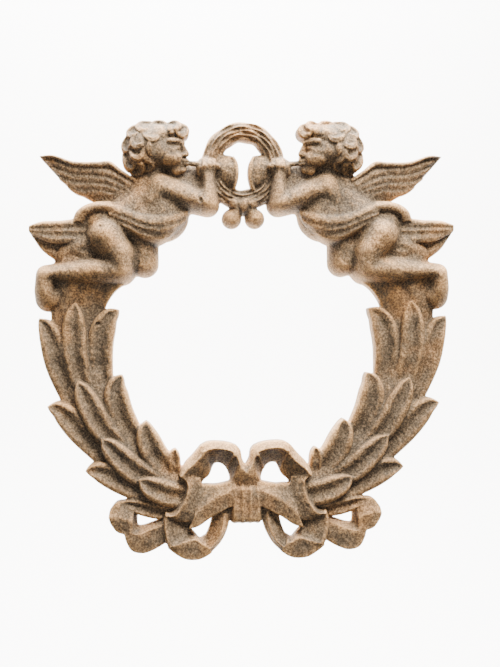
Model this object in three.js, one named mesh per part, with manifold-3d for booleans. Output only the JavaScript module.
// Angel wall plaque: one sand casting in iron, moulded one-sided, with a flat back.
// Two winged putti blow horns over a small straw wreath. They kneel on two laurel
// branches, which a ribbon bow ties at the foot. Millimetres, +Z up. The flat back
// lies in y = 0 and the relief rises towards -Y. The origin is on the back, in the
// middle of the straw wreath's band at its top, just above the slot between the bells.

import * as THREE from 'three';
import { ConvexGeometry } from 'three/addons/geometries/ConvexGeometry.js';
import { LoftGeometry } from 'three/addons/geometries/LoftGeometry.js';
import { mergeVertices } from 'three/addons/utils/BufferGeometryUtils.js';
import Module from 'manifold-3d';

// Driving dimensions

const WREATH_RADIUS = 125;      // middle line of the laurel branches
const WREATH_DROP = 152;        // centre of the laurel ring below the origin
const BRANCH_WIDTH = 40;        // stem and leaf roots, inner edge to outer edge
const BRANCH_HEIGHT = 9;        // their height above the back
const LEAF_WIDTH = 19;
const LEAF_HEIGHT = 17;         // crown of a leaf near its tip
const LEAF_GROOVE = 3;          // depth of the crease along a leaf

const FIGURE_HEIGHT = 142;      // putto, from curls to sole
const FIGURE_RELIEF = 30;       // highest point of head and thigh above the back

const RING_WIDTH = 63;          // small straw wreath behind the horns
const RING_HEIGHT = 66;
const RING_BAND = 15;           // width of its straw band
const RING_RELIEF = 12;
const RING_TOP = 8;             // top of the small wreath above the origin
const STRAW_RIDGES = 3;

const SLOT_WIDTH = 8;           // gap between the mouths of the two bells
const BELL_LENGTH = 18;
const BELL_HEIGHT = 29;
const BELL_RELIEF = 16;

const KNOT_WIDTH = 17;          // small knot that closes the straw wreath
const BALL_DIAMETER = 15;       // its two round loops

const BOW_KNOT_WIDTH = 23;      // flat fluted knot of the big bow
const BOW_KNOT_HEIGHT = 30;
const BOW_SAG = 1;              // middle of the big knot below the laurel ring's middle line
const RIBBON_RELIEF = 19;       // lit rim of the ribbon above the back

const CAST_EDGE = 3;            // upright rim left at the parting line
const BURIED = 4;               // how far rough shapes reach behind the back plane
const FINE_RADIUS = 9;          // rounder domes than this get more facets

// Working helpers: points, rough shapes and the casting they are joined in

const wasm = await Module();
wasm.setup();

const at = (x, z, h) => new THREE.Vector3(x, -h, z);
const mix = THREE.MathUtils.lerp;
const ring = (n) => [...Array(n).keys()];

function solidOf(geometry) {
  const skin = new THREE.BufferGeometry();
  skin.setAttribute('position', geometry.attributes.position);
  skin.setIndex(geometry.index);
  const welded = mergeVertices(skin, 1e-4);
  const vertProperties = new Float32Array(welded.attributes.position.array);
  const triVerts = new Uint32Array(welded.index.array);
  let volume = 0;
  const [a, b, c] = [0, 1, 2].map(() => new THREE.Vector3());
  for (let i = 0; i < triVerts.length; i += 3) {
    [a, b, c].forEach((p, k) => p.fromArray(vertProperties, 3 * triVerts[i + k]));
    volume += a.dot(b.cross(c));
  }
  if (volume < 0) triVerts.reverse();
  return new wasm.Manifold(new wasm.Mesh({ numProp: 3, vertProperties, triVerts }));
}

// A dome is a half ellipsoid on a short upright rim, as a one-sided mould leaves it.
// A mass is the convex skin drawn over one or more domes.

function dome(x, z, radius, crown, radiusZ = radius, rim = CAST_EDGE) {
  const fine = radius + radiusZ > 2 * FINE_RADIUS;
  const sides = fine ? 12 : 8;
  const courses = fine ? [[0, sides], [32, sides], [62, sides / 2]] : [[0, sides], [48, sides]];
  const points = [at(x, z, crown)];
  for (const [sweep, count] of courses) {
    const tilt = THREE.MathUtils.degToRad(sweep);
    for (const i of ring(count)) {
      const turn = (2 * Math.PI * (i + sweep / 90)) / count;
      const reach = Math.cos(tilt);
      const h = rim + (crown - rim) * Math.sin(tilt);
      points.push(at(x + radius * reach * Math.cos(turn), z + radiusZ * reach * Math.sin(turn), h));
    }
  }
  for (const i of ring(sides)) {
    const turn = (2 * Math.PI * i) / sides;
    points.push(at(x + radius * Math.cos(turn), z + radiusZ * Math.sin(turn), -BURIED));
  }
  return points;
}

const mass = (...domes) => solidOf(new ConvexGeometry(domes.flat()));

// A loft closes its ends rightly only where each section turns anticlockwise as seen
// from the loft's far end, so sections that turn the other way are read backwards.

function loft(sections) {
  const [here, next] = sections.slice(0, 2);
  const middle = (points) => points.reduce((sum, p) => sum.add(p), new THREE.Vector3())
    .divideScalar(points.length);
  const lean = new THREE.Vector3();
  here.forEach((p, i) => lean.add(p.clone().cross(here[(i + 1) % here.length])));
  const backwards = lean.dot(middle(next).sub(middle(here))) < 0;
  const ordered = backwards ? sections.map((section) => section.toReversed()) : sections;
  return solidOf(new LoftGeometry(ordered, { capStart: true, capEnd: true }));
}

// A strip is lofted along its rails, which run side by side from edge to edge.
// Each rail is a smooth curve through a few points of the form [x, z, height].

function strip(rails, steps = 6) {
  const curves = rails.map((rail) => {
    return new THREE.CatmullRomCurve3(rail.map((p) => at(...p)), false, 'centripetal');
  });
  const sections = ring(steps + 1).map((i) => {
    const row = curves.map((curve) => curve.getPoint(i / steps));
    const first = row[0].clone().setY(BURIED);
    const last = row.at(-1).clone().setY(BURIED);
    return [first, ...row, last];
  });
  return loft(sections);
}

// Both halves of the plaque are the same pattern, turned over about x = 0.

function mirrored(solid) {
  const mesh = solid.getMesh();
  const vertProperties = mesh.vertProperties.slice();
  for (let i = 0; i < vertProperties.length; i += 3) vertProperties[i] *= -1;
  const triVerts = mesh.triVerts.slice().reverse();
  return new wasm.Manifold(new wasm.Mesh({ numProp: 3, vertProperties, triVerts }));
}

const joined = (solids) => solids.reduce((whole, solid) => whole.add(solid));

// Laurel branch: rows of three leaves, laid like tiles from the bow up to the figure.
// Angles are degrees above the level line through the ring's centre, and each leaf's
// tip and root are so far outside the ring's middle line.

function onWreath(angle, radius, h) {
  const turn = THREE.MathUtils.degToRad(angle);
  return [radius * Math.cos(turn), radius * Math.sin(turn) - WREATH_DROP, h];
}

function leaf({ tip, root, tipOut, rootOut, width = LEAF_WIDTH, crown = LEAF_HEIGHT }) {
  const stations = [0, 0.07, 0.22, 0.55, 1];
  const spread = [0.1, 0.5, 0.9, 1.05, 0.85];
  const lift = [-2, -0.5, 0, -2, -6];
  const lanes = [[-1, -6], [-0.5, 0], [0, -LEAF_GROOVE], [0.5, 0], [1, -6]];
  const rails = lanes.map(([side, drop]) => stations.map((t, i) => {
    const angle = mix(tip, root, t);
    const radius = WREATH_RADIUS + mix(tipOut, rootOut, Math.sqrt(t));
    const flat = i === 0 ? 0.3 : 1;
    return onWreath(angle, radius + side * spread[i] * width / 2, crown + lift[i] + drop * flat);
  }));
  return strip(rails, stations.length - 1);
}

const LEAF_ROWS = [
  { sweep: 31, outer: [5, 28], centre: [11, 2], inner: [12, -30.5] },
  { sweep: 28, outer: [-20, 30.5], centre: [-15, 3], inner: [-18.5, -28.5] },
  { sweep: 24, outer: [-40, 28.5], centre: [-36.5, 8], inner: [-40.5, -26.5] },
  { sweep: 20, outer: [-53.5, 32], centre: [-52.7, 8] },
];
const LEAF_ROOTS = { outer: 11, centre: 2, inner: -11 };
const SMALL_LEAF = { tip: -58.3, root: -67, tipOut: -25, rootOut: -17 };

function branch() {
  const half = BRANCH_WIDTH / 2;
  const from = 24;
  const to = -72;
  const lanes = [[-half, -4], [-half / 3, 0], [half / 3, 0], [half, -4]];
  const stem = strip(lanes.map(([side, drop]) => ring(6).map((i) => {
    return onWreath(mix(from, to, i / 5), WREATH_RADIUS + side, BRANCH_HEIGHT + drop);
  })), 7);
  const leaves = LEAF_ROWS.flatMap(({ sweep, ...tips }) => {
    return Object.entries(tips).map(([place, [tip, tipOut]]) => leaf({
      tip,
      root: tip - sweep,
      tipOut,
      rootOut: LEAF_ROOTS[place],
      crown: place === 'centre' ? LEAF_HEIGHT : LEAF_HEIGHT - 2,
    }));
  });
  const small = leaf({ ...SMALL_LEAF, width: LEAF_WIDTH / 2, crown: LEAF_HEIGHT - 4 });
  const top = onWreath(from - 2, WREATH_RADIUS - half, 0);
  const foot = onWreath(from - 13, WREATH_RADIUS + half, 0);
  const flare = mass(
    dome(top[0], top[1], 9, BRANCH_HEIGHT),
    dome(foot[0], foot[1], 7, BRANCH_HEIGHT - 2),
  );
  return joined([stem, flare, ...leaves, small]);
}

// Putto: the pattern is drawn 142 units high, so every size is a share of its height.
// It is set out from the horn's mouthpiece, where the hands are.

const PATTERN_HEIGHT = 142;
const PATTERN_RELIEF = 30;
const MOUTHPIECE = { x: 21, z: -26 };

const grown = (v, origin) => origin + (v - origin) * FIGURE_HEIGHT / PATTERN_HEIGHT;
const figX = (x) => grown(x, MOUTHPIECE.x);
const figZ = (z) => grown(z, MOUTHPIECE.z);
const figR = (r) => r * FIGURE_HEIGHT / PATTERN_HEIGHT;
const figH = (h) => h * FIGURE_RELIEF / PATTERN_RELIEF;
const flesh = (x, z, r, crown, rz = r) => dome(figX(x), figZ(z), figR(r), figH(crown), figR(rz));
const fold = (rails, steps) => strip(rails.map((rail) => {
  return rail.map(([x, z, h]) => [figX(x), figZ(z), figH(h)]);
}), steps);

function limbs() {
  const shoulder = flesh(62, -42, 12.5, 26);
  const elbow = flesh(26, -55.5, 8.5, 24);
  const wrist = flesh(27, -34, 6.5, 20);
  const hip = flesh(102, -77, 16, 29);
  const thigh = flesh(95, -99, 13, 29);
  const knee = flesh(93, -102, 12, 28);
  const calf = flesh(113, -104, 11, 26);
  const ankle = flesh(139, -105, 6.5, 21);
  const heel = flesh(148, -105.5, 7.5, 22);
  const toes = flesh(147, -125, 8.5, 20);
  return [
    mass(shoulder, elbow),
    mass(elbow, wrist),
    mass(wrist, flesh(26.5, -25.5, 7.2, 19)),
    mass(hip, thigh),
    mass(knee, calf),
    mass(calf, ankle),
    mass(ankle, heel),
    mass(heel, toes),
    mass(flesh(76, -80, 12, 17), flesh(73.5, -98.5, 10, 17)),
  ];
}

function trunk() {
  return [
    mass(flesh(68, -47, 15, 20), flesh(63, -62, 20, 22), flesh(90, -66, 17, 22)),
    mass(flesh(90, -67, 15, 22), flesh(107, -68, 14, 22)),
    mass(flesh(70, -42, 14, 19), flesh(92, -48, 11, 14)),
    mass(flesh(66, -28, 10, 20), flesh(64, -42, 12, 20)),
    mass(flesh(50, -28, 6, 13), flesh(32, -30, 5, 10), flesh(36, -44, 5, 12), flesh(54, -42, 8, 14)),
  ];
}

// Sash: a thick band of cloth over the hips in hanging folds, with one end flying out.

function sash() {
  const band = fold([
    [[127.5, -69, 12], [124.5, -60.5, 14], [118, -55.5, 16], [109, -53, 17], [99, -52.5, 17]],
    [[123, -67, 19], [119.5, -60.5, 21], [113, -57, 23], [106, -56, 24], [96, -57.5, 24]],
    [[117, -68, 15], [114, -63.5, 19], [108, -61.5, 21], [102, -61.5, 22], [94, -63, 22]],
  ], 4);
  const apron = fold([
    [[103, -52.5, 17], [92, -54.5, 19], [81, -59.5, 20], [70, -62, 20], [56, -60.5, 19], [43, -57.5, 13]],
    [[102, -56, 24], [92, -59, 25], [80, -64, 26], [68, -67, 26], [54, -65, 24], [41.5, -61.5, 17]],
    [[101, -60, 22], [90, -64, 22.5], [78, -68.5, 23], [67, -71, 23], [54, -69.5, 21], [43, -65, 15]],
    [[100, -62, 24], [86, -68.5, 25], [74, -73.5, 25.5], [62, -75.5, 24], [52, -73, 22], [45, -69, 16]],
    [[99, -65, 22], [84, -72.5, 22], [73, -77.5, 22], [62, -79, 20], [54, -77, 18], [47.5, -72.5, 14]],
    [[98, -68, 21], [83, -76.5, 22], [73, -81, 22], [63, -82, 20], [56, -79.5, 18], [50, -75.5, 13]],
    [[97, -72, 14], [82, -80, 12], [73, -84.5, 11], [64, -85, 10], [57.5, -82, 9], [52, -78, 8]],
  ], 6);
  const tail = fold([
    [[112, -63, 14], [135, -66.5, 13], [150, -67, 12], [158.5, -69, 10]],
    [[112, -72, 18], [134, -74, 17], [148, -74.5, 15], [159.5, -72, 11]],
    [[112, -84, 15], [130, -83.5, 15], [143, -83.5, 13], [158.5, -75.5, 9]],
  ], 4);
  const curl = fold([
    [[158.5, -73, 9], [150, -78, 11], [139, -81, 11], [128, -82, 10]],
    [[156.5, -78, 7], [150.5, -87.5, 8], [141, -95, 8], [130, -101, 8]],
  ], 4);
  const gusset = mass(flesh(122, -88, 13, 11), flesh(132, -92, 7, 9));
  return [band, apron, tail, curl, gusset];
}

// Wing: a rounded leading edge and long feathers side by side below it.

function wing() {
  const lead = [[150, -18.2, 6], [142, -15.8, 8], [126, -20.5, 11], [107, -21, 14],
    [98, -21, 15], [90, -27.5, 16], [80, -35, 16]];
  const trail = [[148, -20.8, 4], [141, -29.5, 4.5], [127, -43.5, 5], [113, -50, 6],
    [105, -53, 7], [98, -55, 9], [90, -56, 12]];
  const feathers = 4;
  const lanes = [[0, 0], [0.1, 1.2], [0.2, -1.5]];
  for (const i of ring(feathers)) {
    const from = mix(0.2, 1, i / feathers);
    const to = mix(0.2, 1, (i + 1) / feathers);
    lanes.push([mix(from, to, 0.45), 1], [to, i < feathers - 1 ? -1.4 : 0]);
  }
  const rails = lanes.map(([share, rise]) => lead.map((p, i) => {
    const q = trail[i];
    const lifted = i === 0 ? 0 : rise;
    return [mix(p[0], q[0], share), mix(p[1], q[1], share), mix(p[2], q[2], share) + lifted];
  }));
  return [fold(rails, 8)];
}

// Head: turned to the horn, with a plain round cheek and short thick curls.

function head() {
  const skull = flesh(71, -12.5, 19, 30);
  const cheek = flesh(56.5, -15, 12.5, 26);
  const chin = flesh(50, -25, 7, 22);
  const curls = [
    [[47.5, 0, 6.5, 25], [55, 1, 7, 27]], [[66, 0, 8, 27], [62, -4, 6, 31]],
    [[79, -1.5, 8.5, 24], [73, -5, 7, 31]], [[85, -12, 7, 22], [78, -13, 6, 30]],
    [[84.5, -23, 6.5, 20], [77, -21, 6, 29]], [[79, -29, 5.5, 18], [70, -27, 5.5, 25]],
    [[63, -21.5, 4, 28], [68, -16, 5, 31.5]], [[56, -7, 4.5, 28], [62, -10, 5, 31]],
  ];
  const locks = curls.map(([end, start]) => mass(flesh(...end), flesh(...start)));
  return [mass(skull, cheek), mass(cheek, chin), ...locks];
}

// Horn: a flared bell seen from the side, its mouth towards the slot.

function horn() {
  const rimHalf = 2.6;
  const rimX = SLOT_WIDTH / 2 + rimHalf;
  const rimZ = MOUTHPIECE.z - 3.5;
  const rim = dome(rimX, rimZ, rimHalf, BELL_RELIEF, BELL_HEIGHT / 2);
  const waist = dome(rimX + BELL_LENGTH * 0.55, rimZ + 2, 4, BELL_RELIEF - 1, BELL_HEIGHT * 0.29);
  const mouth = dome(rimX + BELL_LENGTH, MOUTHPIECE.z, 3, BELL_RELIEF - 2);
  return [mass(rim, waist), mass(waist, mouth)];
}

// Small straw wreath: ridges side by side round an oval, closed by a knot below.

function strawWreath() {
  const sides = 24;
  const middle = RING_TOP - RING_HEIGHT / 2;
  const lanes = ring(2 * STRAW_RIDGES + 1).map((i) => {
    const inset = (RING_BAND * i) / (2 * STRAW_RIDGES);
    const edge = i === 0 || i === 2 * STRAW_RIDGES;
    return [inset, RING_RELIEF - (i % 2 ? 0 : edge ? 6 : 2.5)];
  });
  const section = ([inset, h], turn) => {
    const x = (RING_WIDTH / 2 - inset) * Math.sin(turn);
    const z = middle + (RING_HEIGHT / 2 - inset) * Math.cos(turn);
    return at(x, z, h);
  };
  const half = (from, to) => {
    const sections = ring(sides / 2 + 1).map((i) => {
      const turn = mix(from, to, (2 * i) / sides);
      const profile = [[lanes[0][0], -BURIED], ...lanes, [lanes.at(-1)[0], -BURIED]];
      return profile.map((lane) => section(lane, turn));
    });
    return loft(sections);
  };
  const overlap = 0.02;
  return [half(-overlap, Math.PI + overlap), half(Math.PI - overlap, 2 * Math.PI + overlap)];
}

function smallKnot() {
  const bottom = RING_TOP - RING_HEIGHT;
  const flutes = 3;
  const pitch = KNOT_WIDTH / flutes;
  const solids = ring(flutes).map((i) => {
    return mass(dome((i - 1) * pitch, bottom + 4, pitch * 0.6, 16, 7));
  });
  const ball = dome(BALL_DIAMETER * 0.58, bottom - 7, BALL_DIAMETER / 2, 13);
  const stem = dome(4, bottom + 1, 3, 10);
  return { solids, loops: [mass(ball), mass(ball, stem)] };
}

// Bow: a fluted knot with a top loop, a lower loop and an outer loop on each side.
// The lit rim of the ribbon is its near edge, and the band falls away behind it. The
// bow is drawn round the middle of its knot, which hangs on the laurel ring's line.

const hungOnRing = (solid) => solid.translate(0, 0, -(WREATH_DROP + WREATH_RADIUS + BOW_SAG));

function bow() {
  const low = 5;
  const top = RIBBON_RELIEF;
  const loopTop = strip([
    [[47, 16, top - 3], [47.5, 28, top - 2], [39, 37, top - 1], [34.5, 44.5, top],
      [25, 47, top], [12.5, 46, top], [5.5, 40, top], [1, 29, top - 1]],
    [[42, 16, top - 2], [41.5, 26, top - 1], [36, 34, top], [31, 39, top],
      [24.5, 41.5, top], [16, 41.5, top], [9, 37, top], [4, 22, top]],
    [[33, 13, low + 3], [31.5, 20, low], [28, 25.5, low], [22, 29.5, low],
      [20, 29.5, low], [17.5, 27, low], [12.5, 21, low], [8, 14, low + 4]],
  ], 9);
  const front = strip([
    [[6, 18, top], [18, 16, top - 1], [29, 14, top], [40, 15, top + 1], [48, 20, top - 2]],
    [[6, 11, top - 2], [18, 7, top - 3], [29, 3, top - 2], [40, 1, top], [47, 6, top - 1]],
    [[6, 2, top], [18, -6, top], [29, -12.5, top], [42, -16.5, top - 1], [60, -9, top - 5]],
  ], 5);
  const lower = strip([
    [[60, -12, 12], [60, -24, 12], [54, -33.5, 11], [43, -41, 10], [31, -41, 10],
      [20.5, -34, 11], [13, -23, 13], [10, -10, 14], [8, 6, 15]],
    [[52, -13, 15], [49, -21, 17], [41, -25, top - 1], [36.5, -28, top], [31.5, -31, top],
      [25, -26, top], [20.5, -19, top], [15, -8, top - 1], [13, 6, 15]],
    [[43, -13, 6], [41.5, -16.5, 5], [37, -20.5, 5], [34.5, -22.5, 5], [31.5, -22.5, 5],
      [29.5, -19, 5], [28, -14, 6], [24, -7, 7], [19, 4, 9]],
  ], 9);
  const outer = strip([
    [[60, -28, 9], [75, -36, 8], [86, -34.5, 8], [91.5, -25, 8], [98.5, -19.5, 9],
      [103, -9, 9], [97, 3, 10], [86, 7, 9]],
    [[60, -21, 12], [73, -23.5, 13], [81.5, -24, 13], [86, -20, 14], [90.5, -12, 14],
      [93, -6, 14], [90, -1, 13], [84, 2, 11]],
    [[61, -15, 6], [74, -18, 5], [79, -18.5, 5], [80.5, -15, 5], [81, -12, 5],
      [81, -9, 5], [80.5, -6, 6], [78, -1, 7]],
  ], 8);
  const link = mass(dome(57, -10, 6, 12), dome(61, -26, 5, 11), dome(61, -3, 5, 10));
  return hungOnRing(joined([loopTop, front, lower, outer, link]));
}

function bowKnot() {
  const flutes = 4;
  const pitch = BOW_KNOT_WIDTH / flutes;
  const slab = mass(
    dome(-BOW_KNOT_WIDTH / 2 + 3, 0, 4, RIBBON_RELIEF - 3, BOW_KNOT_HEIGHT / 2),
    dome(BOW_KNOT_WIDTH / 2 - 3, 0, 4, RIBBON_RELIEF - 3, BOW_KNOT_HEIGHT / 2),
  );
  const rolls = ring(flutes).map((i) => {
    const x = (i + 0.5 - flutes / 2) * pitch;
    return mass(dome(x, 0, pitch * 0.52, RIBBON_RELIEF + 1, BOW_KNOT_HEIGHT / 2));
  });
  const root = { x: 4, z: BOW_KNOT_HEIGHT / 2 + 8, radius: 6, height: 12 };
  const loopRoot = mass(...[-root.x, root.x].map((x) => {
    return dome(x, root.z, root.radius, RIBBON_RELIEF - 2, root.height);
  }));
  return hungOnRing(joined([slab, ...rolls, loopRoot]));
}

// The casting

function casting() {
  const knot = smallKnot();
  const half = joined([
    branch(), ...limbs(), ...trunk(), ...sash(), ...wing(), ...head(), ...horn(), ...knot.loops, bow(),
  ]);
  const rough = joined([half, mirrored(half), ...strawWreath(), ...knot.solids, bowKnot()]);
  const reach = 2 * (WREATH_RADIUS + WREATH_DROP + FIGURE_HEIGHT);
  const depth = FIGURE_RELIEF + RIBBON_RELIEF;
  const mould = new THREE.BoxGeometry(reach, depth, reach).translate(0, -depth / 2, 0);
  return rough.intersect(solidOf(mould));
}

function geometryOf(solid) {
  const mesh = solid.getMesh();
  const geometry = new THREE.BufferGeometry();
  geometry.setAttribute('position', new THREE.BufferAttribute(mesh.vertProperties, 3));
  geometry.setIndex(new THREE.BufferAttribute(mesh.triVerts, 1));
  geometry.computeVertexNormals();
  return geometry;
}

const weatheredIron = new THREE.MeshStandardMaterial({ color: 0x92795f, roughness: 0.85, metalness: 0.15 });

const plaque = new THREE.Mesh(geometryOf(casting()), weatheredIron);
plaque.name = 'plaque_casting';

const part = new THREE.Group();
part.add(plaque);

export default part;
